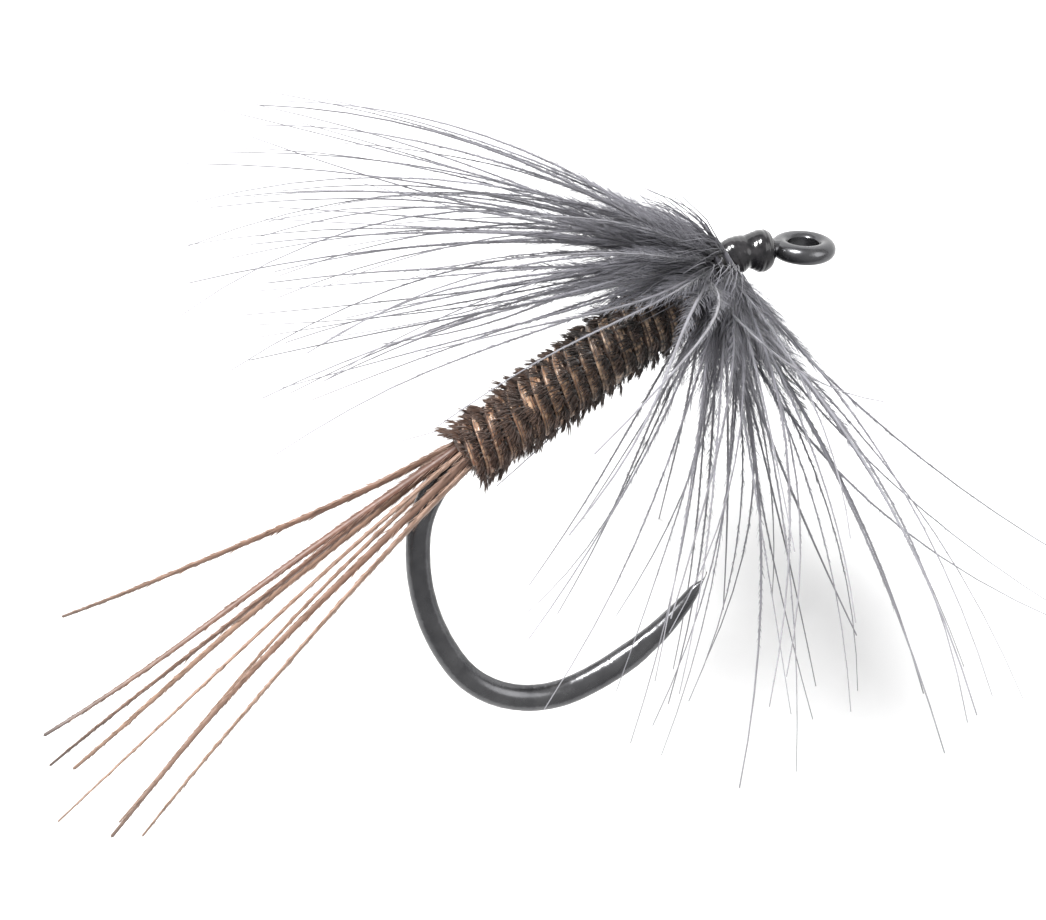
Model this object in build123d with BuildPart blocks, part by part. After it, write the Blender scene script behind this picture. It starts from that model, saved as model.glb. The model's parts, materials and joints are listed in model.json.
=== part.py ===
from build123d import *

import os
from bisect import bisect_right
from math import cos, degrees, radians, sin, tan
from random import Random

# A dry fly: a barbless down-eyed hook dressed with a feather-fibre tail, a body of wound herl,
# a wound hackle and a varnished thread head.
# Millimetres. +X runs forward along the hook shank, +Z is up, away from the hook point, and the
# origin is the centre of the hook eye.

# Hook
WIRE = 0.50
SHANK_HEIGHT = 0.80  # the shank axis above the eye centre
EYE_RING = 0.46  # from the eye centre to the middle of the ring's wire
EYE_WIRE = 0.38
EYE_BORE = 0.62
EYE_DOWN = 36  # degrees between the shank and the eye
NECK_BEND_RADIUS = 0.60
BEND_START = -7.85
BEND_ARCS = ((52, 2.1), (38, 4.7), (76, 2.2), (39, 5.3))  # degrees turned and radius of each arc
HOOK_SECTIONS = 56

# Dressing, as distances along the shank and radii around it
TAIL_TIE = -7.78
BODY_REAR, BODY_FRONT = -7.75, -2.45
HACKLE_REAR, HACKLE_FRONT = -2.10, -1.35
THREAD = 0.04
BASE_INNER, BASE_OUTER = WIRE / 2 + 0.01, 0.29
TAIL_RING = 0.33
BUTT_RADIUS, BUTT_LENGTH = 0.032, 0.86  # the cut ends of the tail fibres, bound on the shank
LASHING_GAP = 0.006
HERL_STRANDS = 4
HERL_LEAD = 1.12  # how far one strand moves forward in a turn
HERL_RADIUS_REAR, HERL_RADIUS_FRONT = 0.505, 0.600
HERL_THICK, HERL_WIDE = 0.18, 0.235
HACKLE_STEM = 0.12
HACKLE_STEM_RING = 0.375
BARB_RING = 0.445
BARB_ROOT, BARB_TIP = 0.035, 0.012
BARB_LENGTH = 9.3
HEAD_RADIUS = 0.355

# The tail's free tips, from one side over the top to the other: x, y and height above the shank axis.
TAIL_TIPS = (
    (-17.9, -2.2, -1.5),
    (-18.4, -1.9, -1.1),
    (-19.1, -1.3, -0.45),
    (-18.3, -0.6, 1.05),
    (-16.8, 1.6, 2.0),
    (-18.8, 0.5, -0.3),
    (-18.6, 1.3, -1.0),
    (-18.5, 0.5, -2.3),
)
TAIL_ROOT_SPREAD = 100  # degrees each side of the top that the roots reach
TAIL_ROOT_RADIUS, TAIL_TIP_RADIUS = 0.065, 0.040

# The hackle's eight sectors, round from the top bunch: the number of barbs, and the least and most
# angle in degrees between a barb and the rearward shank. The two flanks are thinner.
HACKLE_SECTORS = (
    (16, 32, 64),
    (14, 36, 68),
    (9, 46, 76),
    (14, 40, 80),
    (16, 38, 94),
    (14, 40, 88),
    (9, 46, 76),
    (14, 36, 68),
)
HACKLE_TOP = 28  # degrees that the top bunch leans from +Z towards +Y
GOLDEN = 0.618034
QUILL_SIDES = 8  # a feather quill is keeled and many-sided, never round


def around(x, radius, angle):
    """A point round the shank, with the angle in degrees from +Z towards +Y."""
    turn = radians(angle)
    return Vector(x, radius * sin(turn), SHANK_HEIGHT + radius * cos(turn))


def across(x):
    """A plane square to the shank, with its normal forward."""
    return Plane(origin=(x, 0, SHANK_HEIGHT), x_dir=(0, 1, 0), z_dir=(1, 0, 0))


def keep(part, name):
    """Label a finished piece and write its file."""
    part.label = name
    export_step(part, f"parts/{name}.step")


def tube(name, x_from, x_to, inner, outer_from, outer_to):
    """A sleeve round the shank, straight or slightly coned."""
    with BuildPart() as sleeve:
        with BuildSketch(across(x_from)):
            Circle(outer_from)
        with BuildSketch(across(x_to)):
            Circle(outer_to)
        loft()
        with BuildSketch(across(x_from)):
            Circle(inner)
        extrude(amount=x_to - x_from, mode=Mode.SUBTRACT)
    keep(sleeve.part, name)


def coil(name, start, turns, pitch, radius, thickness):
    """Round thread or quill wound about the normal of the start plane."""
    with BuildPart() as wound:
        with BuildLine():
            course = Helix(
                pitch=pitch,
                height=turns * pitch,
                radius=radius,
                center=start.origin,
                direction=start.z_dir,
                lefthand=True,
            )
        outward = course @ 0 - start.origin
        with BuildSketch(Plane(origin=course @ 0, x_dir=outward, z_dir=course % 0)):
            Circle(thickness / 2)
        sweep(path=course, is_frenet=True)
    keep(wound.part, name)


def flattened_corners(half_thick, half_wide):
    """The corners of a many-sided section that is flatter than it is wide."""
    turns = [radians(360 * corner / QUILL_SIDES) for corner in range(QUILL_SIDES)]
    return [(half_thick * cos(turn), half_wide * sin(turn)) for turn in turns]


def fibre(points, side, root_radius, tip_radius):
    """One tapered feather fibre, lofted along a smooth line through the points."""
    with BuildPart() as one:
        with BuildLine():
            course = Spline(*points)
        for share in (0, 0.25, 0.5, 0.75, 1):
            with BuildSketch(Plane(origin=course @ share, x_dir=side, z_dir=course % share)):
                RegularPolygon(root_radius + (tip_radius - root_radius) * share, QUILL_SIDES)
        loft()
    return one.part


# Hook --------------------------------------------------------------------------------------------


def hook_outline():
    """The middle line of the wire, from the eye's ring to the point, as a wire in the XZ plane."""
    down = radians(EYE_DOWN)
    ring_back = (-EYE_RING * cos(down), EYE_RING * sin(down))
    neck = (-SHANK_HEIGHT / tan(down), SHANK_HEIGHT)
    with BuildLine() as outline:
        last = FilletPolyline(
            ring_back, neck, (BEND_START, SHANK_HEIGHT), radius=NECK_BEND_RADIUS
        )
        for turn, radius in BEND_ARCS:
            last = JernArc(start=last @ 1, tangent=last % 1, radius=radius, arc_size=turn)
    return Plane.XZ * outline.wires()[0]


os.makedirs("parts", exist_ok=True)
OUTLINE = hook_outline()
# The wire's half height in the hook plane and half width across it, by distance along the outline.
# It is forged taller ahead of the bend and ground to a needle point.
WIRE_SIZES = (
    (0.0, EYE_WIRE / 2, EYE_WIRE / 2),
    (0.5, WIRE / 2, WIRE / 2),
    (OUTLINE.length - 8.5, WIRE / 2, WIRE / 2),
    (OUTLINE.length - 6.0, 0.265, 0.250),
    (OUTLINE.length - 4.0, 0.290, 0.240),
    (OUTLINE.length - 2.4, 0.285, 0.235),
    (OUTLINE.length - 1.4, 0.215, 0.200),
    (OUTLINE.length - 0.7, 0.150, 0.140),
    (OUTLINE.length, 0.012, 0.012),
)


def wire_size(distance):
    """The wire's half height and half width at a distance along the outline."""
    reached = [row[0] for row in WIRE_SIZES]
    index = min(bisect_right(reached, distance), len(WIRE_SIZES) - 1)
    before, after = WIRE_SIZES[index - 1], WIRE_SIZES[index]
    share = (distance - before[0]) / (after[0] - before[0])
    return tuple(before[i] + (after[i] - before[i]) * share for i in (1, 2))


EYE_PLANE = Plane(
    origin=(0, 0, 0),
    x_dir=(0, 1, 0),
    z_dir=(sin(radians(EYE_DOWN)), 0, cos(radians(EYE_DOWN))),
)

with BuildPart() as hook:
    for step in range(HOOK_SECTIONS + 1):
        share = step / HOOK_SECTIONS
        half_height, half_width = wire_size(share * OUTLINE.length)
        square_on = Plane(origin=OUTLINE @ share, x_dir=(0, 1, 0), z_dir=OUTLINE % share)
        with BuildSketch(square_on):
            Ellipse(half_width, half_height)
    loft()
    with Locations(EYE_PLANE):
        Torus(EYE_RING, EYE_WIRE / 2)
        Cylinder(EYE_BORE / 2, EYE_WIRE, mode=Mode.SUBTRACT)
keep(hook.part, "hook")

# Tail --------------------------------------------------------------------------------------------

tail_angles = [
    TAIL_ROOT_SPREAD * (2 * number / (len(TAIL_TIPS) - 1) - 1) for number in range(len(TAIL_TIPS))
]
for number, (tip, angle) in enumerate(zip(TAIL_TIPS, tail_angles), start=1):
    root = around(TAIL_TIE - 0.02, TAIL_RING, angle)
    end = Vector(tip[0], tip[1], SHANK_HEIGHT + tip[2])
    reach = end - root
    # A third of the way out the fibre has spread by less than a third, so it curves gently outwards.
    early = root + Vector(0.33 * reach.X, 0.25 * reach.Y, 0.25 * reach.Z)
    keep(
        fibre((root, early, end), (0, 1, 0), TAIL_ROOT_RADIUS, TAIL_TIP_RADIUS),
        f"tail_fibre_{number}",
    )

with BuildPart() as tail_butts:
    for angle in tail_angles:
        butt_plane = Plane(
            origin=around(TAIL_TIE, TAIL_RING, angle), x_dir=(0, 1, 0), z_dir=(1, 0, 0)
        )
        with BuildSketch(butt_plane):
            Circle(BUTT_RADIUS)
        extrude(amount=BUTT_LENGTH)
keep(tail_butts.part, "tail_butts")

TAIL_LASHING_TURNS = 12
tail_lashing_ring = TAIL_RING + BUTT_RADIUS + LASHING_GAP + THREAD / 2
coil(
    "tail_lashing",
    across(TAIL_TIE + 1.5 * THREAD),
    TAIL_LASHING_TURNS,
    1.5 * THREAD,
    tail_lashing_ring,
    THREAD,
)

# Body --------------------------------------------------------------------------------------------

tube("thread_base", TAIL_TIE, HACKLE_FRONT + 0.03, BASE_INNER, BASE_OUTER, BASE_OUTER)
UNDERBODY_REAR, UNDERBODY_FRONT = TAIL_TIE + BUTT_LENGTH + 0.02, -3.45
UNDERBODY_INNER = BASE_OUTER + 0.005
UNDERBODY_OUTER_REAR, UNDERBODY_OUTER_FRONT = 0.415, 0.485
tube(
    "underbody",
    UNDERBODY_REAR,
    UNDERBODY_FRONT,
    UNDERBODY_INNER,
    UNDERBODY_OUTER_REAR,
    UNDERBODY_OUTER_FRONT,
)

body_length = BODY_FRONT - BODY_REAR
herl_growth = (HERL_RADIUS_FRONT - HERL_RADIUS_REAR) / body_length
for strand_number in range(HERL_STRANDS):
    start = across(BODY_REAR + HERL_LEAD * strand_number / HERL_STRANDS)
    length = body_length - HERL_LEAD * (HERL_STRANDS - 1) / HERL_STRANDS
    first_radius = HERL_RADIUS_REAR + herl_growth * (start.origin.X - BODY_REAR)
    with BuildPart() as strand:
        with BuildLine():
            wound = Helix(
                pitch=HERL_LEAD,
                height=length,
                radius=first_radius,
                center=start.origin,
                direction=(1, 0, 0),
                cone_angle=degrees(herl_growth),
                lefthand=True,
            )
        outward = wound @ 0 - start.origin
        with BuildSketch(Plane(origin=wound @ 0, x_dir=outward, z_dir=wound % 0)):
            Polygon(*flattened_corners(HERL_THICK / 2, HERL_WIDE / 2))
        sweep(path=wound, is_frenet=True)
    keep(strand.part, f"body_herl_{strand_number + 1}")

TIE_OFF_THREAD, TIE_OFF_TURNS = 0.06, 3
tie_off_start = across(BODY_FRONT + 1.5 * TIE_OFF_THREAD)
tie_off_ring = BASE_OUTER + TIE_OFF_THREAD / 2 + 0.005
coil(
    "herl_tie_off",
    tie_off_start,
    TIE_OFF_TURNS,
    TIE_OFF_THREAD + 0.005,
    tie_off_ring,
    TIE_OFF_THREAD,
)

# Hackle ------------------------------------------------------------------------------------------

STEM_TURNS = 4
stem_pitch = (HACKLE_FRONT - HACKLE_REAR) / STEM_TURNS
coil(
    "hackle_stem", across(HACKLE_REAR), STEM_TURNS, stem_pitch, HACKLE_STEM_RING, HACKLE_STEM
)

# The stem's cut end lies along the underside of the shank, inside the body, under its own lashing.
STEM_BUTT_REAR, STEM_BUTT_LENGTH, STEM_BUTT_RADIUS = -3.38, 1.0, 0.055
stem_butt_ring = BASE_OUTER + STEM_BUTT_RADIUS + 0.01
with BuildPart() as hackle_stem_butt:
    butt_start = Plane(
        origin=around(STEM_BUTT_REAR, stem_butt_ring, 180), x_dir=(0, 1, 0), z_dir=(1, 0, 0)
    )
    with BuildSketch(butt_start):
        Circle(STEM_BUTT_RADIUS)
    extrude(amount=STEM_BUTT_LENGTH)
keep(hackle_stem_butt.part, "hackle_stem_butt")

HACKLE_LASHING_TURNS = 10
coil(
    "hackle_lashing",
    across(STEM_BUTT_REAR + 2 * THREAD),
    HACKLE_LASHING_TURNS,
    2 * THREAD,
    stem_butt_ring + STEM_BUTT_RADIUS + THREAD / 2 + 0.005,
    THREAD,
)


def barb(root_x, angle, sweep_angle, length):
    """One tapered barb, swept back towards the tail by an angle from the rearward shank."""
    turn, back = radians(angle), radians(sweep_angle)
    outward = Vector(-cos(back), sin(back) * sin(turn), sin(back) * cos(turn))
    with BuildPart() as one:
        with Locations(Plane(origin=around(root_x, BARB_RING, angle), z_dir=outward)):
            Cone(BARB_ROOT, BARB_TIP, length, align=(Align.CENTER, Align.CENTER, Align.MIN))
    return one.part


chance = Random(14)
sector_width = 360 / len(HACKLE_SECTORS)
for number, (count, least, most) in enumerate(HACKLE_SECTORS):
    barbs = []
    for index in range(count):
        across_sector = (index + 0.5) / count - 0.5
        angle = HACKLE_TOP + sector_width * (number + across_sector)
        root_share = (index * GOLDEN + 0.5) % 1
        sweep_share = (index * GOLDEN * GOLDEN + 0.1 * number) % 1
        barbs.append(
            barb(
                HACKLE_REAR + (HACKLE_FRONT - HACKLE_REAR) * root_share,
                angle + chance.uniform(-1.5, 1.5),
                least + (most - least) * sweep_share,
                BARB_LENGTH * chance.uniform(0.86, 1.06),
            )
        )
    keep(Compound(children=barbs), f"hackle_sector_{number + 1}")

# Head --------------------------------------------------------------------------------------------

# The neck runs from its bend down to the eye's ring; distances are measured from the bend's corner.
neck_direction = Vector(cos(radians(EYE_DOWN)), 0, -sin(radians(EYE_DOWN)))
neck_corner = Vector(-SHANK_HEIGHT / tan(radians(EYE_DOWN)), 0, SHANK_HEIGHT)


def on_neck(distance):
    """A plane square to the neck, with its normal towards the eye."""
    return Plane(
        origin=neck_corner + neck_direction * distance, x_dir=(0, 1, 0), z_dir=neck_direction
    )


neck_arc = OUTLINE.edges().filter_by(GeomType.CIRCLE).sort_by(Axis.X)[-1]
neck_start = Plane(origin=neck_arc @ 0, x_dir=(0, 1, 0), z_dir=neck_arc % 0)
WRAP_OUTER = 0.310
VARNISH_GAP = 0.006

with BuildPart() as head_thread:
    with BuildSketch(neck_start):
        Circle(WRAP_OUTER)
        Circle(BASE_INNER, mode=Mode.SUBTRACT)
    sweep(path=neck_arc)
keep(head_thread.part, "head_thread")

WHIP_RADIUS, WHIP_THREAD, WHIP_TURNS = 0.305, 0.08, 4
WHIP_START = 0.26
coil("whip_finish", on_neck(WHIP_START), WHIP_TURNS, WHIP_THREAD + 0.01, WHIP_RADIUS, WHIP_THREAD)

# The varnish covers the neck's bend and then swells into a round node over the whip finish.
NODE_REAR, NODE_FRONT = NECK_BEND_RADIUS * tan(radians(EYE_DOWN / 2)), 0.70
NODE_SWELL = 0.06
NODE_RINGS = 8
NODE_WALL_REAR, NODE_WALL_FRONT = 0.018, 0.045
VARNISH_INNER = WRAP_OUTER + VARNISH_GAP
NODE_HOLLOW = WHIP_RADIUS + WHIP_THREAD / 2 + VARNISH_GAP

# The node's section as distance along the neck and radius: the outside first, then the hollow.
node_profile = []
for ring in range(NODE_RINGS + 1):
    share = ring / NODE_RINGS
    place = NODE_REAR + (NODE_FRONT - NODE_REAR) * share
    node_profile.append((place, HEAD_RADIUS + NODE_SWELL * sin(radians(180 * share))))
node_profile += [
    (NODE_FRONT, BASE_INNER),
    (NODE_FRONT - NODE_WALL_FRONT, BASE_INNER),
    (NODE_FRONT - NODE_WALL_FRONT, NODE_HOLLOW),
    (NODE_REAR + NODE_WALL_REAR, NODE_HOLLOW),
    (NODE_REAR + NODE_WALL_REAR, VARNISH_INNER),
    (NODE_REAR, VARNISH_INNER),
]

with BuildPart() as head_varnish:
    with BuildSketch(neck_start):
        Circle(HEAD_RADIUS)
        Circle(VARNISH_INNER, mode=Mode.SUBTRACT)
    sweep(path=neck_arc)
    with BuildSketch(Plane(origin=neck_corner, x_dir=neck_direction, z_dir=(0, -1, 0))):
        with BuildLine():
            Polyline(*node_profile, close=True)
        make_face()
    revolve(axis=Axis(neck_corner, neck_direction))
keep(head_varnish.part, "head_varnish")
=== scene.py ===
import json
import math

import bpy
import numpy as np
from mathutils import Matrix, Vector


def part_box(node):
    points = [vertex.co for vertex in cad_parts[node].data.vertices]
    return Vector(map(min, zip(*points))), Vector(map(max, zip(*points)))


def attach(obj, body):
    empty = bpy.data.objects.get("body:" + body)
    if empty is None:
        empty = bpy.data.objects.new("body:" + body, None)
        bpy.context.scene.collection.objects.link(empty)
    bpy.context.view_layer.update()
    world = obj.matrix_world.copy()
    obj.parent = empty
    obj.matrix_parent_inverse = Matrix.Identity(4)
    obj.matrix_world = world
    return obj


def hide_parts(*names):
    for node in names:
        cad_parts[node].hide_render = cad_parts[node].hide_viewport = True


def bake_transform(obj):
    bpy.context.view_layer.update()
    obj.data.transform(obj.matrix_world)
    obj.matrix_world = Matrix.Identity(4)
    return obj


# A dry fly: black barbless hook, brown feather-fibre tail, wound herl body, slate hackle and a
# varnished thread head. Metres, in the frame of the CAD part: +X forward along the shank, +Z up.

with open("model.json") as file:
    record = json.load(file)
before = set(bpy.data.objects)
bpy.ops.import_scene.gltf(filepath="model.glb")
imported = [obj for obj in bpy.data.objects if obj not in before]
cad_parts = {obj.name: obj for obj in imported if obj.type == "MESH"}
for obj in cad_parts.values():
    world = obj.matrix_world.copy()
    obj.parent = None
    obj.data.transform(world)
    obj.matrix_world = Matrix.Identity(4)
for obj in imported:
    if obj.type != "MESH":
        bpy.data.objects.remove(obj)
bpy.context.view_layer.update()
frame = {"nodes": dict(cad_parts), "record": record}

MM = 0.001
FORWARD = np.array([1.0, 0.0, 0.0])
rng = np.random.default_rng(14)

# Places and sizes read from the CAD part
base_low, base_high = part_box("thread_base")
SHANK_Z = (base_low.z + base_high.z) / 2
HERL_BOXES = [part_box(f"body_herl_{number}") for number in range(1, 5)]
BODY_REAR = min(low.x for low, high in HERL_BOXES)
BODY_FRONT = max(high.x for low, high in HERL_BOXES)
BODY_RADIUS_REAR = min(high.z - low.z for low, high in HERL_BOXES) / 2 - 0.05 * MM
BODY_RADIUS_FRONT = max(high.z - low.z for low, high in HERL_BOXES) / 2
STEM_LOW, STEM_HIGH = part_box("hackle_stem")
STEM_RADIUS = (STEM_HIGH.z - STEM_LOW.z) / 2
EYE_AXIS = Vector(frame["record"]["mounts"][0]["axis"])
NECK = np.array([EYE_AXIS.z, 0.0, -EYE_AXIS.x])
NECK_CORNER = NECK * (SHANK_Z / NECK[2])


# Mesh building ------------------------------------------------------------------------------------


def unit(vectors):
    """The same vectors, each of length one."""
    return vectors / np.maximum(np.linalg.norm(vectors, axis=-1, keepdims=True), 1e-12)


def around(x, radius, angle):
    """Points round the shank, the angle in radians from +Z towards +Y."""
    x, radius, angle = np.broadcast_arrays(x, radius, angle)
    return np.stack([x, radius * np.sin(angle), SHANK_Z + radius * np.cos(angle)], axis=-1)


def outward_at(points):
    """The unit direction away from the shank at each point."""
    off = np.array(points, float)
    off[..., 0] = 0
    off[..., 2] -= SHANK_Z
    return unit(off)


def tubes(lines, radii, sides, across, flat=1.0, along=None, shade=None, fine=0.0):
    """Closed tapered tubes, one along each of N lines of M points, as plain arrays.

    across is each line's wide direction, and flat the thickness as a share of the width. along runs
    from root to tip, shade is a random number per line, and fine says how far out a side hair is.
    """
    count, steps = lines.shape[:2]
    tangents = unit(np.gradient(lines, axis=1))
    wide = across[:, None, :] - np.sum(across[:, None, :] * tangents, -1, keepdims=True) * tangents
    wide = unit(wide)
    deep = np.cross(tangents, wide)
    turn = np.arange(sides) * 2 * math.pi / sides
    ring = (
        wide[:, :, None, :] * np.cos(turn)[None, None, :, None]
        + deep[:, :, None, :] * np.sin(turn)[None, None, :, None] * flat
    )
    body = lines[:, :, None, :] + ring * radii[:, :, None, None]
    first = lines[:, :1] - tangents[:, :1] * radii[:, :1, None] * 0.5
    last = lines[:, -1:] + tangents[:, -1:] * radii[:, -1:, None]
    points = np.concatenate([body.reshape(count, steps * sides, 3), first, last], axis=1)
    per_tube = steps * sides + 2
    row, column = np.meshgrid(np.arange(steps - 1), np.arange(sides), indexing="ij")
    corner = row * sides + column
    beside = row * sides + (column + 1) % sides
    quads = np.stack([corner, beside, beside + sides, corner + sides], -1).reshape(-1, 4)
    edge = np.arange(sides)
    after = (edge + 1) % sides
    top = (steps - 1) * sides
    start_cap = np.stack([after, edge, np.full(sides, steps * sides)], -1)
    end_cap = np.stack([top + edge, top + after, np.full(sides, steps * sides + 1)], -1)
    tris = np.concatenate([start_cap, end_cap])
    offset = np.arange(count)[:, None, None] * per_tube
    if along is None:
        along = np.tile(np.linspace(0, 1, steps), (count, 1))
    if shade is None:
        shade = rng.random(count)
    fine = np.broadcast_to(fine, (count, steps))

    def per_point(values):
        ringed = np.repeat(values, sides, axis=1)
        return np.concatenate([ringed, values[:, :1], values[:, -1:]], axis=1).ravel()

    return {
        "points": points.reshape(-1, 3),
        "quads": (quads[None] + offset).reshape(-1, 4),
        "tris": (tris[None] + offset).reshape(-1, 3),
        "along": per_point(along),
        "fine": per_point(fine),
        "shade": np.repeat(shade, per_tube),
    }


def piece(name, parts, material):
    """One object made of several sets of tubes or sheets, smooth, with its material."""
    start, quads, tris = 0, [], []
    for part in parts:
        quads.append(part["quads"] + start)
        tris.append(part["tris"] + start)
        start += len(part["points"])
    mesh = bpy.data.meshes.new(name)
    points = np.concatenate([part["points"] for part in parts])
    faces = np.concatenate(quads).tolist() + np.concatenate(tris).tolist()
    mesh.from_pydata(points.tolist(), [], faces)
    for key in ("along", "shade", "fine"):
        attribute = mesh.attributes.new(key, "FLOAT", "POINT")
        values = np.concatenate([part[key] for part in parts]).astype(np.float32)
        attribute.data.foreach_set("value", values)
    mesh.shade_smooth()
    mesh.materials.append(material)
    obj = bpy.data.objects.new(name, mesh)
    bpy.context.scene.collection.objects.link(obj)
    return obj


def turned_sheet(points, along):
    """A closed surface from a grid of points: rows along it, columns round it, and a cap at each end."""
    rows, columns = points.shape[:2]
    row, column = np.meshgrid(np.arange(rows - 1), np.arange(columns), indexing="ij")
    corner = row * columns + column
    beside = row * columns + (column + 1) % columns
    quads = np.stack([corner, beside, beside + columns, corner + columns], -1).reshape(-1, 4)
    edge = np.arange(columns)
    after = (edge + 1) % columns
    top = (rows - 1) * columns
    start_cap = np.stack([after, edge, np.full(columns, rows * columns)], -1)
    end_cap = np.stack([top + edge, top + after, np.full(columns, rows * columns + 1)], -1)
    everything = np.concatenate(
        [points.reshape(-1, 3), points[0].mean(0)[None], points[-1].mean(0)[None]]
    )
    share = np.concatenate([np.repeat(along, columns), along[:1], along[-1:]])
    return {
        "points": everything,
        "quads": quads,
        "tris": np.concatenate([start_cap, end_cap]),
        "along": share,
        "fine": np.zeros(len(share)),
        "shade": np.full(len(share), 0.5),
    }


HAIR_ROLL = 0.35  # radians that side hairs scatter out of the flat of the feather
HAIR_BEND = 0.35  # how strongly a hair's outer half turns to run with its line


def side_hairs(lines, across, reach, lean, hair_radius, spacing, until=1.0, crowd=1.0, shade=None):
    """Fine hairs down both edges of each line, like the barbules of a feather fibre.

    reach(along) is their length, lean the angle in radians between a hair and its line, and crowd
    above 1 gathers them towards the root.
    """
    count, steps = lines.shape[:2]
    tangents = unit(np.gradient(lines, axis=1))
    lengths = np.linalg.norm(np.diff(lines, axis=1), axis=-1).sum(1)
    roots, ways, bends, sizes, places, shades = [], [], [], [], [], []
    for index in range(count):
        number = int(lengths[index] * until / spacing)
        place = rng.random(number) ** crowd * until
        spot = place * (steps - 1)
        low = np.minimum(spot.astype(int), steps - 2)
        part = (spot - low)[:, None]
        root = lines[index, low] * (1 - part) + lines[index, low + 1] * part
        tangent = tangents[index, low]
        wide = unit(across[index] - np.sum(across[index] * tangent, -1, keepdims=True) * tangent)
        deep = np.cross(tangent, wide)
        hand = np.where(rng.random(number) < 0.5, -1.0, 1.0)[:, None]
        roll = rng.normal(0, HAIR_ROLL, number)[:, None]
        edge = wide * hand * np.cos(roll) + deep * np.sin(roll)
        angle = (lean * rng.uniform(0.7, 1.3, number))[:, None]
        roots.append(root)
        ways.append(tangent * np.cos(angle) + edge * np.sin(angle))
        bends.append(tangent)
        sizes.append(reach(place) * rng.uniform(0.6, 1.15, number))
        places.append(place)
        base = rng.random() if shade is None else shade[index]
        shades.append(np.clip(base + rng.normal(0, 0.12, number), 0, 1))
    root, way, bend = (np.concatenate(items) for items in (roots, ways, bends))
    size, place, tint = (np.concatenate(items) for items in (sizes, places, shades))
    middle = root + way * (size * 0.5)[:, None]
    tip = middle + unit(way + bend * HAIR_BEND) * (size * 0.5)[:, None]
    hair_lines = np.stack([root, middle, tip], axis=1)
    radii = hair_radius * np.array([1.0, 0.7, 0.25])[None, :] * rng.uniform(0.8, 1.2, (len(size), 1))
    return tubes(
        hair_lines,
        radii,
        3,
        np.cross(way, bend) + 1e-9,
        along=np.repeat(place[:, None], 3, axis=1),
        shade=tint,
        fine=np.array([0.2, 0.6, 1.0])[None, :],
    )


# Materials ----------------------------------------------------------------------------------------


def new_material(name):
    """An empty node material with its shader and output in place."""
    material = bpy.data.materials.new(name)
    material.use_nodes = True
    tree = material.node_tree
    return material, tree, tree.nodes["Principled BSDF"]


def add(tree, kind, **inputs):
    """A shader node with some of its inputs set by name."""
    node = tree.nodes.new(kind)
    for key, value in inputs.items():
        node.inputs[key.replace("_", " ")].default_value = value
    return node


def attribute(tree, name):
    """The value of one of the mesh's own attributes."""
    node = tree.nodes.new("ShaderNodeAttribute")
    node.attribute_name = name
    return node.outputs["Fac"]


def ramp(tree, factor, stops):
    """A colour ramp from a list of (position, colour)."""
    node = tree.nodes.new("ShaderNodeValToRGB")
    elements = node.color_ramp.elements
    while len(elements) < len(stops):
        elements.new(0.5)
    for element, (position, colour) in zip(elements, stops):
        element.position = position
        element.color = (*colour, 1)
    tree.links.new(factor, node.inputs["Fac"])
    return node.outputs["Color"]


def mixed(tree, factor, first, second, blend="MIX"):
    """Two colours mixed by a factor, each either a socket or a plain value."""
    node = tree.nodes.new("ShaderNodeMix")
    node.data_type = "RGBA"
    node.blend_type = blend
    for socket, value in (("Factor", factor), ("A", first), ("B", second)):
        target = [s for s in node.inputs if s.name == socket and s.enabled][0]
        if isinstance(value, bpy.types.NodeSocket):
            tree.links.new(value, target)
        elif isinstance(value, (int, float)):
            target.default_value = value
        else:
            target.default_value = (*value, 1)
    return [s for s in node.outputs if s.enabled][0]


def noise(tree, scale, detail=3.0, stretch=(1, 1, 1)):
    """Noise in the object's own space, scale in features per millimetre."""
    coordinates = tree.nodes.new("ShaderNodeTexCoord")
    mapping = tree.nodes.new("ShaderNodeMapping")
    mapping.inputs["Scale"].default_value = [s * scale / MM for s in stretch]
    texture = add(tree, "ShaderNodeTexNoise", Scale=1.0, Detail=detail)
    tree.links.new(coordinates.outputs["Object"], mapping.inputs["Vector"])
    tree.links.new(mapping.outputs["Vector"], texture.inputs["Vector"])
    return texture.outputs["Fac"]


def to_range(tree, value, low, high):
    """A value from 0 to 1 carried to low to high."""
    node = add(tree, "ShaderNodeMapRange", To_Min=low, To_Max=high)
    tree.links.new(value, node.inputs["Value"])
    return node.outputs["Result"]


def bumped(tree, shader, height, depth):
    """Small relief in the shading, with its depth in metres."""
    node = add(tree, "ShaderNodeBump", Strength=1.0, Distance=depth)
    tree.links.new(height, node.inputs["Height"])
    tree.links.new(node.outputs["Normal"], shader.inputs["Normal"])


def black_nickel():
    """Dark polished plating with slight clouding and fine drawing marks, and painted shade at its rims.
    """
    material, tree, shader = new_material("black_nickel")
    cloud = noise(tree, 1.6)
    colour = ramp(tree, cloud, [(0.3, (0.085, 0.085, 0.09)), (0.7, (0.15, 0.15, 0.155))])
    # Painted shade: the base colour goes to near black where the surface turns away from the camera.
    painted_shade_rim_mask = tree.nodes.new("ShaderNodeLayerWeight")
    painted_shade_rim_mask.inputs["Blend"].default_value = 0.35
    painted_rim_shade = mixed(tree, painted_shade_rim_mask.outputs["Facing"], colour, (0.006, 0.006, 0.007))
    tree.links.new(painted_rim_shade, shader.inputs["Base Color"])
    shader.inputs["Metallic"].default_value = 0.9
    tree.links.new(to_range(tree, noise(tree, 5.0), 0.16, 0.34), shader.inputs["Roughness"])
    bumped(tree, shader, noise(tree, 14.0, 4.0), 0.0015 * MM)
    return material


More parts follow.
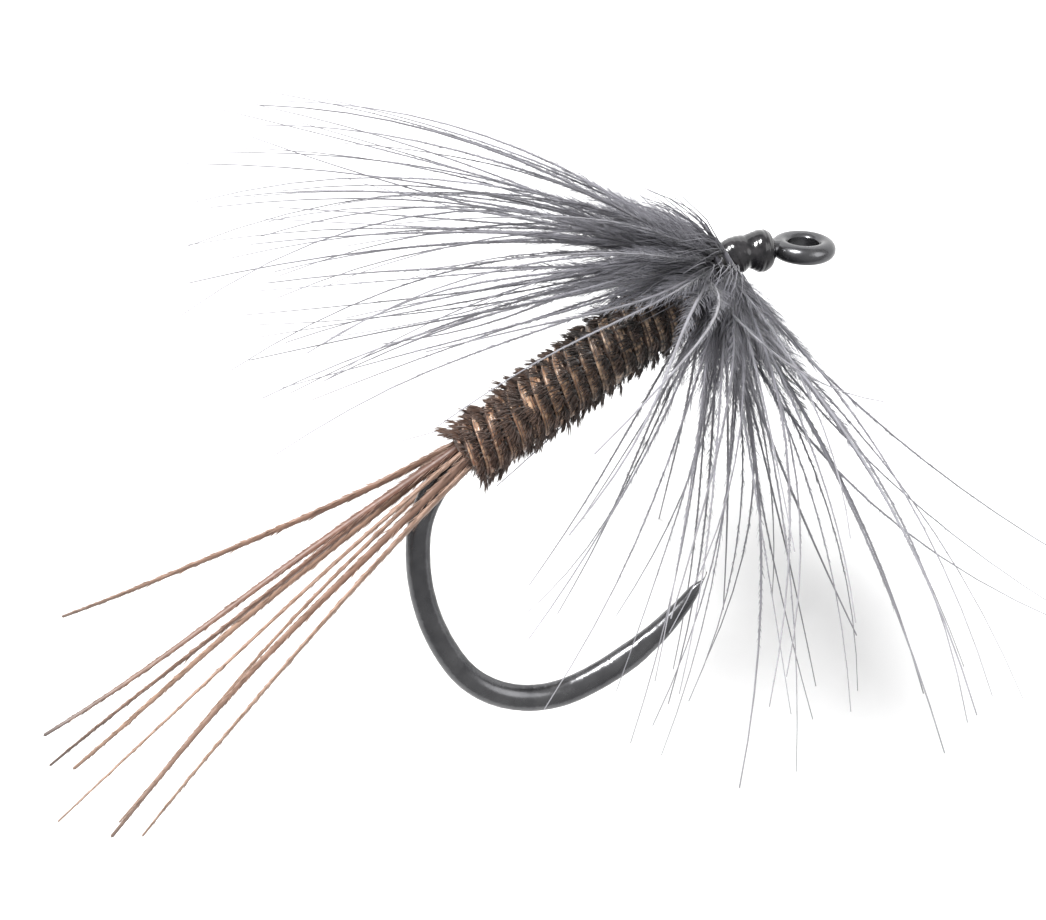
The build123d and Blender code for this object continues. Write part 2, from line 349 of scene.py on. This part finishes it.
def varnished_thread():
    """Black thread under gloss varnish, with a slight unevenness in the coat."""
    material, tree, shader = new_material("varnished_thread")
    colour = ramp(tree, noise(tree, 6.0), [(0.3, (0.006, 0.006, 0.007)), (0.75, (0.03, 0.028, 0.03))])
    tree.links.new(colour, shader.inputs["Base Color"])
    tree.links.new(to_range(tree, noise(tree, 4.0), 0.10, 0.28), shader.inputs["Roughness"])
    shader.inputs["Specular IOR Level"].default_value = 0.30
    shader.inputs["Coat Weight"].default_value = 0.25
    shader.inputs["Coat Roughness"].default_value = 0.05
    bumped(tree, shader, noise(tree, 5.0, 2.0), 0.006 * MM)
    return material


def waxed_thread():
    """Dark tying thread with a fine grain."""
    material, tree, shader = new_material("waxed_thread")
    colour = ramp(tree, noise(tree, 20.0), [(0.3, (0.012, 0.011, 0.012)), (0.7, (0.05, 0.045, 0.045))])
    tree.links.new(colour, shader.inputs["Base Color"])
    tree.links.new(to_range(tree, noise(tree, 9.0), 0.4, 0.65), shader.inputs["Roughness"])
    bumped(tree, shader, noise(tree, 30.0, 2.0), 0.002 * MM)
    return material


def feather(name, stops, light, roughness, grain, painted_tip_light=0.0, sheen=0.2):
    """Feather fibre coloured from root to tip, varied from fibre to fibre and along each one."""
    material, tree, shader = new_material(name)
    base = ramp(tree, attribute(tree, "along"), stops)
    # The shade attribute mixes in the light colour from fibre to fibre; for the quills and the tail that
    # colour is a painted highlight.
    tinted = mixed(tree, to_range(tree, attribute(tree, "shade"), 0.0, 0.75), base, light)
    patchy = mixed(
        tree, to_range(tree, noise(tree, grain, 4.0), 0.0, 0.9), tinted, (0.35, 0.32, 0.30), "MULTIPLY"
    )
    # Side hairs grow lighter towards their tips: painted light on the thin hair tips.
    if painted_tip_light:
        patchy = mixed(tree, to_range(tree, attribute(tree, "fine"), 0.0, painted_tip_light), patchy, light)
    tree.links.new(patchy, shader.inputs["Base Color"])
    tree.links.new(
        to_range(tree, noise(tree, grain * 2), roughness - 0.1, roughness + 0.15),
        shader.inputs["Roughness"],
    )
    shader.inputs["Sheen Weight"].default_value = sheen
    bumped(tree, shader, noise(tree, grain * 4, 2.0), 0.003 * MM)
    return material


NICKEL = black_nickel()
VARNISH = varnished_thread()
THREAD = waxed_thread()
# Herl colours from rear to front: reddish brown fading to near black. The near-black front, behind the
# hackle, is painted shade.
HERL = feather(
    "herl",
    [(0.0, (0.075, 0.034, 0.020)), (0.35, (0.042, 0.022, 0.014)), (0.62, (0.014, 0.011, 0.010)),
     (1.0, (0.006, 0.006, 0.007))],
    (0.15, 0.075, 0.043),
    0.55,
    6.0,
)
# The quill's light colour is its painted glint colour. Its darkening to near black at the front, behind
# the hackle, is painted shade.
HERL_QUILL = feather(
    "herl_quill",
    [(0.0, (0.24, 0.11, 0.065)), (0.4, (0.28, 0.145, 0.075)), (0.62, (0.080, 0.048, 0.033)),
     (0.85, (0.020, 0.016, 0.016))],
    (0.80, 0.55, 0.36),
    0.28,
    7.0,
)
# The tail's light colour is partly painted highlight: mixed in by differing amounts from fibre to fibre,
# which also stands for their own varied tone, and towards the tips of the side hairs.
TAIL = feather(
    "tail_fibre",
    [(0.0, (0.12, 0.050, 0.030)), (0.35, (0.20, 0.095, 0.062)), (0.8, (0.21, 0.125, 0.092)),
     (1.0, (0.14, 0.11, 0.10))],
    (0.50, 0.33, 0.24),
    0.45,
    3.0,
    painted_tip_light=0.35,
)
# The barbs lighten from root to tip, and the web hairs towards their tips: painted light showing through
# the thin, translucent tips.
HACKLE = feather(
    "hackle_barb",
    [(0.0, (0.095, 0.095, 0.115)), (0.3, (0.15, 0.15, 0.175)), (0.7, (0.22, 0.22, 0.245)),
     (1.0, (0.32, 0.32, 0.35))],
    (0.30, 0.30, 0.335),
    0.55,
    3.0,
    painted_tip_light=0.35,
)

# Hook and hidden bindings -------------------------------------------------------------------------

for name, node in frame["nodes"].items():
    node.data.materials.clear()
    if name == "hook":
        node.data.materials.append(NICKEL)
    elif name in ("hackle_stem", "hackle_stem_butt"):
        node.data.materials.append(HACKLE)
    elif name in ("tail_butts", "underbody"):
        node.data.materials.append(HERL)
    else:
        node.data.materials.append(THREAD)

# Tail ---------------------------------------------------------------------------------------------

TAIL_STEPS = 22
TAIL_GROUPS = {"tail_near": (1, 2, 3, 4), "tail_far": (5, 6, 7, 8)}
TAIL_INSIDE = 0.25 * MM  # how far a fibre's root reaches into the body
TAIL_SHORT = 0.75 * MM  # how far a fibre ends before the CAD solid's tip
TAIL_WAVER = 0.07 * MM
TAIL_WIDTH_ROOT, TAIL_WIDTH_LOST = 0.088 * MM, 0.050 * MM  # half widths
TAIL_HAIR_ROOT, TAIL_HAIR_LOST = 0.46 * MM, 0.28 * MM


def fitted_line(node):
    """The middle line of a long CAD fibre, from a little inside the body to just short of its tip."""
    points = np.array([vertex.co for vertex in frame["nodes"][node].data.vertices], float)
    root, tip = points[:, 0].max() + TAIL_INSIDE, points[:, 0].min() + TAIL_SHORT
    x = np.linspace(root, tip, TAIL_STEPS)
    bent = [np.polyval(np.polyfit(points[:, 0], points[:, axis], 2), x) for axis in (1, 2)]
    return np.stack([x, *bent], axis=-1)


def tail_fibre(number):
    """One tail fibre: a flat quill that wavers a little, with barbules down both edges."""
    share = np.linspace(0, 1, TAIL_STEPS)
    line = fitted_line(f"tail_fibre_{number}")
    wave = rng.uniform(0, 2 * math.pi, 2)
    line[:, 1] += TAIL_WAVER * share * np.sin(7 * share + wave[0])
    line[:, 2] += TAIL_WAVER * share * np.sin(6 * share + wave[1])
    width = TAIL_WIDTH_ROOT - TAIL_WIDTH_LOST * share**1.2
    tilt = rng.uniform(0, math.pi)
    across = np.array([[0.0, math.cos(tilt), math.sin(tilt)]])
    tint = rng.random(1)
    quill = tubes(line[None], width[None], 8, across, flat=0.55, shade=tint)
    hairs = side_hairs(
        line[None],
        across,
        reach=lambda place: TAIL_HAIR_ROOT - TAIL_HAIR_LOST * place,
        lean=math.radians(16),
        hair_radius=0.013 * MM,
        spacing=0.013 * MM,
        until=0.96,
        shade=tint,
    )
    tail = piece(f"tail_{number}", [quill, hairs], TAIL)
    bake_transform(tail)
    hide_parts(f"tail_fibre_{number}")


for body, numbers in TAIL_GROUPS.items():
    for number in numbers:
        tail_fibre(number)

# Body ---------------------------------------------------------------------------------------------

HERL_STRANDS = 4
HERL_LEAD = 1.12 * MM
RIB = HERL_LEAD / HERL_STRANDS
CORE_ROWS, CORE_COLUMNS = 330, 120
CORE_DEPTH, CORE_RIDGE, CORE_ROUGH = 0.14 * MM, 0.09 * MM, 0.012 * MM
CORE_ROUNDED = 0.22 * MM  # the length over which each end of the core rounds off
CORE_END = 0.62  # the end's radius as a share of the full radius

# For each quill of a rib: its place as a share of the rib's width from the middle, its half width
# and its depth below the body's surface. One is proud, and one on either side of it is thinner.
QUILL_LANES = (
    (0.05, 0.046 * MM, 0.035 * MM),
    (-0.20, 0.030 * MM, 0.060 * MM),
    (0.30, 0.032 * MM, 0.060 * MM),
)
QUILL_STEPS, QUILL_SIDES = 420, 6

TUFTS, HAIRS_PER_TUFT = 1150, 8
TUFT_EDGES, TUFT_SHARES = [0.02, 0.84], [0.75, 0.25]  # places across a rib, and the share at each
TUFT_DEPTH = 0.10 * MM
TUFT_LONGEST = 0.42
FLUE_RADII = np.array([0.022, 0.016, 0.003]) * MM


def body_radius(x):
    """The body's outer radius, without its fuzz."""
    share = np.clip((x - BODY_REAR) / (BODY_FRONT - BODY_REAR), 0, 1)
    swell = 0.02 * MM * np.sin(share * math.pi)
    return BODY_RADIUS_REAR + (BODY_RADIUS_FRONT - BODY_RADIUS_REAR) * share + swell


def rib_phase(x, angle):
    """How far across its rib a point lies, from 0 to 1; the ribs wind left-handed."""
    return ((x - BODY_REAR) / RIB - angle / (2 * math.pi) * HERL_STRANDS) % 1


def rib_angle(x, rib_place):
    """The angle round the shank at which a place across the ribs is reached at x."""
    return ((x - BODY_REAR) / RIB - rib_place) * 2 * math.pi / HERL_STRANDS


def on_body(obj):
    """Fix a piece to the body."""
    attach(obj, "dressed_hook")


def body_core():
    """The ridged inside of the body, which shows dark between the quills."""
    rows = np.linspace(BODY_REAR + 0.02 * MM, BODY_FRONT + 0.1 * MM, CORE_ROWS)
    columns = np.arange(CORE_COLUMNS) * 2 * math.pi / CORE_COLUMNS
    row, column = np.meshgrid(rows, columns, indexing="ij")
    ridge = np.sin(math.pi * rib_phase(row, column)) ** 0.7
    rough = np.sin(31 * column + row / MM * 9) * np.sin(17 * column - row / MM * 23)
    inset = np.minimum(row - rows[0], rows[-1] - row)
    rounded = np.minimum(1, inset / CORE_ROUNDED) ** 0.5
    full = body_radius(row) - CORE_DEPTH + CORE_RIDGE * ridge + CORE_ROUGH * rough
    radius = full * (CORE_END + (1 - CORE_END) * rounded)
    along = (rows - rows[0]) / (rows[-1] - rows[0])
    on_body(piece("body_core", [turned_sheet(around(row, radius, column), along)], HERL))


def quill_strand(strand, lane_offset, half_width, depth):
    """One shiny quill, wound the length of the body, with painted glints that come and go: patches of
    lighter colour along it.
    """
    x = np.linspace(BODY_REAR + 0.1 * MM, BODY_FRONT - 0.05 * MM, QUILL_STEPS)
    waver = 0.05 * np.sin(x / MM * 3.3 + strand * 2) + 0.03 * np.sin(x / MM * 11 + strand)
    angle = rib_angle(x, strand + 0.5 + lane_offset + waver)
    drift = 0.012 * MM * np.sin(x / MM * 5.1 + lane_offset * 9 + strand)
    line = around(x, body_radius(x) - depth + drift, angle)
    width = half_width * (1 + 0.25 * np.sin(x / MM * 13 + strand * 3))
    along = (x - x[0]) / (x[-1] - x[0])
    part = tubes(line[None], width[None], QUILL_SIDES, FORWARD[None], flat=0.5, along=along[None])
    # Painted highlight: each glint value mixes the quill material's light colour into the quill, carried
    # in the shade attribute.
    painted_glint = np.clip(rng.normal(0.22, 0.38, QUILL_STEPS), 0, 1)
    part["shade"] = np.concatenate([np.repeat(painted_glint, QUILL_SIDES), painted_glint[:1], painted_glint[-1:]])
    return part


def body_quills():
    """All the quills, which stand for the CAD part's herl strands."""
    parts = [quill_strand(strand, *lane) for strand in range(HERL_STRANDS) for lane in QUILL_LANES]
    quills = piece("body_quills", parts, HERL_QUILL)
    on_body(quills)
    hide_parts(*[f"body_herl_{number}" for number in range(1, HERL_STRANDS + 1)])


def body_flue():
    """Short dark barbules in tufts along the edges of every rib, leaning back to the tail."""
    tuft_x = rng.uniform(BODY_REAR + 0.05 * MM, BODY_FRONT + 0.05 * MM, TUFTS)
    tuft_strand = rng.integers(0, HERL_STRANDS, TUFTS)
    tuft_place = tuft_strand + rng.choice(TUFT_EDGES, TUFTS, p=TUFT_SHARES)
    tuft_back = rng.normal(0.55, 0.25, TUFTS)
    tuft_side = rng.normal(0.15, 0.35, TUFTS)
    tuft_size = rng.gamma(10.0, 0.026, TUFTS)
    member = np.repeat(np.arange(TUFTS), HAIRS_PER_TUFT)
    hairs = len(member)
    x = tuft_x[member]
    angle = rib_angle(x, tuft_place[member] + rng.normal(0, 0.07, hairs))
    angle = angle + rng.normal(0, 0.045, hairs)
    root = around(x, body_radius(x) - TUFT_DEPTH, angle)
    outward = outward_at(root)
    round_way = np.cross(outward, FORWARD)
    lean_back = (tuft_back[member] + rng.normal(0, 0.08, hairs))[:, None]
    lean_side = (tuft_side[member] + rng.normal(0, 0.10, hairs))[:, None]
    way = unit(outward - FORWARD * lean_back + round_way * lean_side)
    size = np.minimum(tuft_size[member] * rng.uniform(0.8, 1.1, hairs), TUFT_LONGEST) * MM
    middle = root + way * (size * 0.5)[:, None]
    tip = middle + unit(way - FORWARD * 0.5) * (size * 0.5)[:, None]
    along = (x - BODY_REAR) / (BODY_FRONT - BODY_REAR)
    flue = tubes(
        np.stack([root, middle, tip], axis=1),
        FLUE_RADII[None] * rng.uniform(0.7, 1.2, (hairs, 1)),
        3,
        round_way,
        along=np.repeat(along[:, None], 3, axis=1),
        shade=rng.random(TUFTS)[member] * 0.5,
        fine=np.array([0.0, 0.5, 1.0])[None, :],
    )
    on_body(piece("body_flue", [flue], HERL))


body_core()
body_quills()
body_flue()

# Hackle -------------------------------------------------------------------------------------------

BARB_STEPS = 12
BARB_LENGTH = 9.6 * MM
BARB_RING = STEM_RADIUS - 0.02 * MM
BARB_WIDTH_ROOT, BARB_WIDTH_LOST = 0.040 * MM, 0.027 * MM  # half widths
WEB_ROOT, WEB_TIP = 1.25 * MM, 0.05 * MM  # the barbules' length at the root, and far out
DOWN_PER_BARB, DOWN_STEPS = 9, 4
DOWN_RADII = np.array([0.014, 0.012, 0.009, 0.004]) * MM
HACKLE_TOP = 28  # degrees that the top bunch leans from +Z towards +Y
# Round from the top bunch: the number of barbs, and the least and most angle in degrees between a
# barb and the rearward shank. The bunches above and below are full, and the flanks are thin.
HACKLE_SECTORS = (
    (26, 24, 58),
    (17, 28, 62),
    (7, 42, 76),
    (14, 38, 80),
    (17, 40, 104),
    (14, 38, 92),
    (4, 42, 66),
    (16, 24, 60),
)
SECTOR_WIDTH = 360 / len(HACKLE_SECTORS)


def swept(outward, sweep):
    """Directions between outward and rearward, at a sweep angle from the rearward shank."""
    return outward * np.sin(sweep)[:, None] - FORWARD * np.cos(sweep)[:, None]


def hackle_barbs(number, count, least, most):
    """One sector's barbs, with the fine barbules that web them together near their roots."""
    round_share = (np.arange(count) + rng.uniform(0.1, 0.9, count)) / count - 0.5
    turn = np.radians(HACKLE_TOP + SECTOR_WIDTH * (number - 1 + round_share))
    sweep = np.radians(least + (most - least) * rng.permutation(np.linspace(0, 1, count)))
    sweep = sweep + rng.normal(0, math.radians(2), count)
    length = BARB_LENGTH * rng.uniform(0.86, 1.08, count)
    root_x = rng.uniform(STEM_LOW.x + 0.1 * MM, STEM_HIGH.x - 0.1 * MM, count)
    foot = around(root_x, BARB_RING, turn)
    outward = outward_at(foot)
    aim = unit(swept(outward, sweep))
    side = unit(np.cross(aim, outward))
    lift = np.cross(side, aim)
    # A barb leaves the stem standing up, curves back towards the tail and wanders a little.
    share = np.linspace(0, 1, BARB_STEPS)[None, :, None]
    bow = 4 * share * (1 - share)
    arch = rng.normal(0.050, 0.028, (count, 1, 1))
    stray = rng.normal(0, 0.022, (count, 1, 1))
    curl = rng.normal(0, 0.010, (count, 1, 1))
    sway = side[:, None, :] * (stray * bow + curl * np.sin(2 * math.pi * share))
    run = aim[:, None, :] * share + lift[:, None, :] * arch * bow + sway
    lines = foot[:, None, :] + run * length[:, None, None]
    across = unit(side + rng.normal(0, 0.5, (count, 3)))
    tint = rng.random(count)
    taper = BARB_WIDTH_ROOT - BARB_WIDTH_LOST * share[:, :, 0] ** 0.9
    radii = taper * rng.uniform(0.8, 1.15, (count, 1))
    barbs = tubes(lines, radii, 5, across, flat=0.7, shade=tint)
    web = side_hairs(
        lines,
        across,
        reach=lambda place: WEB_ROOT * np.exp(-4.2 * place) + WEB_TIP,
        lean=math.radians(23),
        hair_radius=0.0058 * MM,
        spacing=0.022 * MM,
        until=0.72,
        crowd=1.7,
        shade=tint * 0.6,
    )
    return barbs, web


def hackle_down(number, count):
    """Short downy fibres at the foot of a sector's barbs, which hide the stem."""
    turn = np.radians(HACKLE_TOP + SECTOR_WIDTH * (number - 1.5 + rng.random(count)))
    sweep = np.radians(rng.uniform(20, 80, count))
    foot = around(rng.uniform(STEM_LOW.x, STEM_HIGH.x, count), BARB_RING, turn)
    outward = outward_at(foot)
    aim = swept(outward, sweep)
    side = unit(np.cross(aim, outward))
    aim = unit(aim + side * rng.normal(0, 0.25, (count, 1)))
    size = rng.uniform(0.5, 2.2, (count, 1, 1)) * MM
    share = np.linspace(0, 1, DOWN_STEPS)[None, :, None]
    bend = np.cross(side, aim)[:, None, :] * (0.4 * share * (1 - share))
    return tubes(
        foot[:, None, :] + (aim[:, None, :] * share + bend) * size,
        np.repeat(DOWN_RADII[None], count, axis=0),
        3,
        side,
        along=np.tile(np.linspace(0, 0.15, DOWN_STEPS), (count, 1)),
        shade=rng.random(count) * 0.5,
    )


def hackle_sector(number, count, least, most):
    """One sector of the hackle: its barbs, web and down as one piece."""
    barbs, web = hackle_barbs(number, count, least, most)
    down = hackle_down(number, count * DOWN_PER_BARB)
    hackle = piece(f"hackle_barbs_{number}", [barbs, web, down], HACKLE)
    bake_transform(hackle)
    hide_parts(f"hackle_sector_{number}")


for number, sector in enumerate(HACKLE_SECTORS, start=1):
    hackle_sector(number, *sector)

# Head ---------------------------------------------------------------------------------------------

HEAD_ROWS, HEAD_COLUMNS = 150, 72
HEAD_BACK = STEM_HIGH.x - NECK_CORNER[0] - 0.02 * MM
HEAD_FRONT = 0.70 * MM
NECK_ROUND = 0.24 * MM  # how far each side of the neck's corner the middle line curves
HEAD_SMOOTHING = 9  # rows averaged to round the profile's corners
WRAP_RELIEF, LUMP_RELIEF, RELIEF_SUNK = 0.004 * MM, 0.011 * MM, 0.003 * MM
WRAP_PITCH = 0.085
# Distance from the neck's corner and radius, in millimetres: two rounded steps with a waist between.
HEAD_PROFILE = (
    (HEAD_BACK / MM, 0.30),
    (-0.22, 0.345),
    (-0.08, 0.365),
    (0.06, 0.355),
    (0.17, 0.330),
    (0.26, 0.375),
    (0.40, 0.425),
    (0.54, 0.415),
    (0.64, 0.36),
    (HEAD_FRONT / MM, 0.235),
)


def head_point(distance):
    """The head's middle line: along the shank, round the neck's bend and down the neck."""
    if distance < -NECK_ROUND:
        return NECK_CORNER + FORWARD * distance
    if distance > NECK_ROUND:
        return NECK_CORNER + NECK * distance
    share = (distance + NECK_ROUND) / (2 * NECK_ROUND)
    before = NECK_CORNER - FORWARD * NECK_ROUND
    after = NECK_CORNER + NECK * NECK_ROUND
    return before * (1 - share) ** 2 + NECK_CORNER * 2 * share * (1 - share) + after * share**2


def varnished_head():
    """Gloss varnish over faint thread wraps, slightly lumpy."""
    places = np.linspace(HEAD_BACK, HEAD_FRONT, HEAD_ROWS)
    middle_line = np.array([head_point(place) for place in places])
    tangent = unit(np.gradient(middle_line, axis=0))
    sideways = np.tile([0.0, 1.0, 0.0], (HEAD_ROWS, 1))
    upward = np.cross(tangent, sideways)
    profile = np.pad(np.interp(places / MM, *zip(*HEAD_PROFILE)), HEAD_SMOOTHING // 2, mode="edge")
    averaging = np.ones(HEAD_SMOOTHING) / HEAD_SMOOTHING
    profile = np.convolve(profile, averaging, mode="valid") * MM
    turns = np.arange(HEAD_COLUMNS) * 2 * math.pi / HEAD_COLUMNS
    place, turn = np.meshgrid(places / MM, turns, indexing="ij")
    wraps = np.abs(np.sin(math.pi * place / WRAP_PITCH + turn / 2))
    lumps = np.sin(2 * turn + 9 * place) + 0.6 * np.sin(3 * turn - 14 * place + 1)
    radius = profile[:, None] + WRAP_RELIEF * wraps + LUMP_RELIEF * lumps - RELIEF_SUNK
    points = (
        middle_line[:, None, :]
        + sideways[:, None, :] * (np.cos(turn) * radius)[..., None]
        + upward[:, None, :] * (np.sin(turn) * radius)[..., None]
    )
    head = piece("head", [turned_sheet(points, np.linspace(0, 1, HEAD_ROWS))], VARNISH)
    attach(head, "dressed_hook")
    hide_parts("head_varnish")


varnished_head()

# Camera, light and floor --------------------------------------------------------------------------

# The camera looks down on the fly's side and is rolled, so that the shank climbs to the right.
ELEVATION = math.radians(29)
ROLL = math.radians(36.9)
ASPECT = 1046 / 920
LENS, SENSOR = 120, 36
MARGIN = 1.04
FLOOR_DEPTH = 7.5 * MM
FLOOR_HALF = 0.6

level_up = np.array([0.0, math.sin(ELEVATION), math.cos(ELEVATION)])
back = np.cross(FORWARD, level_up)
right = math.cos(ROLL) * FORWARD - math.sin(ROLL) * level_up
up = math.sin(ROLL) * FORWARD + math.cos(ROLL) * level_up


def spans_seen():
    """The fly's least and most reach to the right and upwards, as the camera sees it."""
    nodes = frame["nodes"].values()
    points = np.concatenate([[vertex.co for vertex in node.data.vertices] for node in nodes])
    return [((points @ axis).min(), (points @ axis).max()) for axis in (right, up)]


def aimed_camera(centre, half_width):
    """The camera, far enough away for the fly to fill the frame."""
    camera = bpy.data.objects.new("camera", bpy.data.cameras.new("camera"))
    bpy.context.scene.collection.objects.link(camera)
    camera.data.lens, camera.data.sensor_width = LENS, SENSOR
    camera.data.clip_start, camera.data.clip_end = 0.002, 5
    place = centre + back * half_width * LENS / (SENSOR / 2)
    turned = np.column_stack([right, up, back]).tolist()
    camera.matrix_world = Matrix.Translation(place) @ Matrix(turned).to_4x4()
    bpy.context.scene.camera = camera


def pale_card():
    """Matt white card, seen only from its front."""
    material, tree, shader = new_material("white_card")
    colour = ramp(tree, noise(tree, 0.4), [(0.3, (0.86, 0.86, 0.86)), (0.7, (0.90, 0.90, 0.90))])
    tree.links.new(colour, shader.inputs["Base Color"])
    shader.inputs["Roughness"].default_value = 0.9
    clear = tree.nodes.new("ShaderNodeBsdfTransparent")
    choose = tree.nodes.new("ShaderNodeMixShader")
    facing = tree.nodes.new("ShaderNodeNewGeometry")
    tree.links.new(facing.outputs["Backfacing"], choose.inputs["Fac"])
    tree.links.new(shader.outputs["BSDF"], choose.inputs[1])
    tree.links.new(clear.outputs["BSDF"], choose.inputs[2])
    tree.links.new(choose.outputs["Shader"], tree.nodes["Material Output"].inputs["Surface"])
    return material


def floor_behind(centre):
    """A large pale card behind the fly, square to the camera."""
    middle = centre - back * FLOOR_DEPTH
    corners = [
        middle + (right * across + up * upward) * FLOOR_HALF
        for across, upward in ((-1, -1), (1, -1), (1, 1), (-1, 1))
    ]
    mesh = bpy.data.meshes.new("floor")
    mesh.from_pydata([tuple(corner) for corner in corners], [], [(0, 1, 2, 3)])
    mesh.materials.append(pale_card())
    floor = bpy.data.objects.new("floor", mesh)
    bpy.context.scene.collection.objects.link(floor)


def soft_lamp(name, centre, direction, distance, size, power):
    """A square area lamp that faces the fly."""
    data = bpy.data.lights.new(name, "AREA")
    data.size, data.energy = size, power
    lamp = bpy.data.objects.new(name, data)
    bpy.context.scene.collection.objects.link(lamp)
    away = Vector(direction).normalized() * distance
    lamp.location = Vector(centre) + away
    lamp.rotation_mode = "QUATERNION"
    lamp.rotation_quaternion = away.to_track_quat("Z", "Y")


def pale_world():
    """Even white light from all round."""
    world = bpy.data.worlds.new("world")
    world.use_nodes = True
    background = world.node_tree.nodes["Background"]
    background.inputs["Color"].default_value = (1.0, 1.0, 1.0, 1)
    background.inputs["Strength"].default_value = 0.62
    bpy.context.scene.world = world


(left_edge, right_edge), (low_edge, high_edge) = spans_seen()
centre = right * (left_edge + right_edge) / 2 + up * (low_edge + high_edge) / 2
half_width = max(right_edge - left_edge, (high_edge - low_edge) * ASPECT) / 2 * MARGIN
aimed_camera(centre, half_width)
floor_behind(centre)
soft_lamp("key", centre, back - right * 0.5 + up * 0.9, distance=0.25, size=0.07, power=1.3)
soft_lamp("fill", centre, back * 0.8 + right + up * 0.2, distance=0.30, size=0.20, power=0.35)
pale_world()
bpy.context.scene.view_settings.view_transform = "Standard"
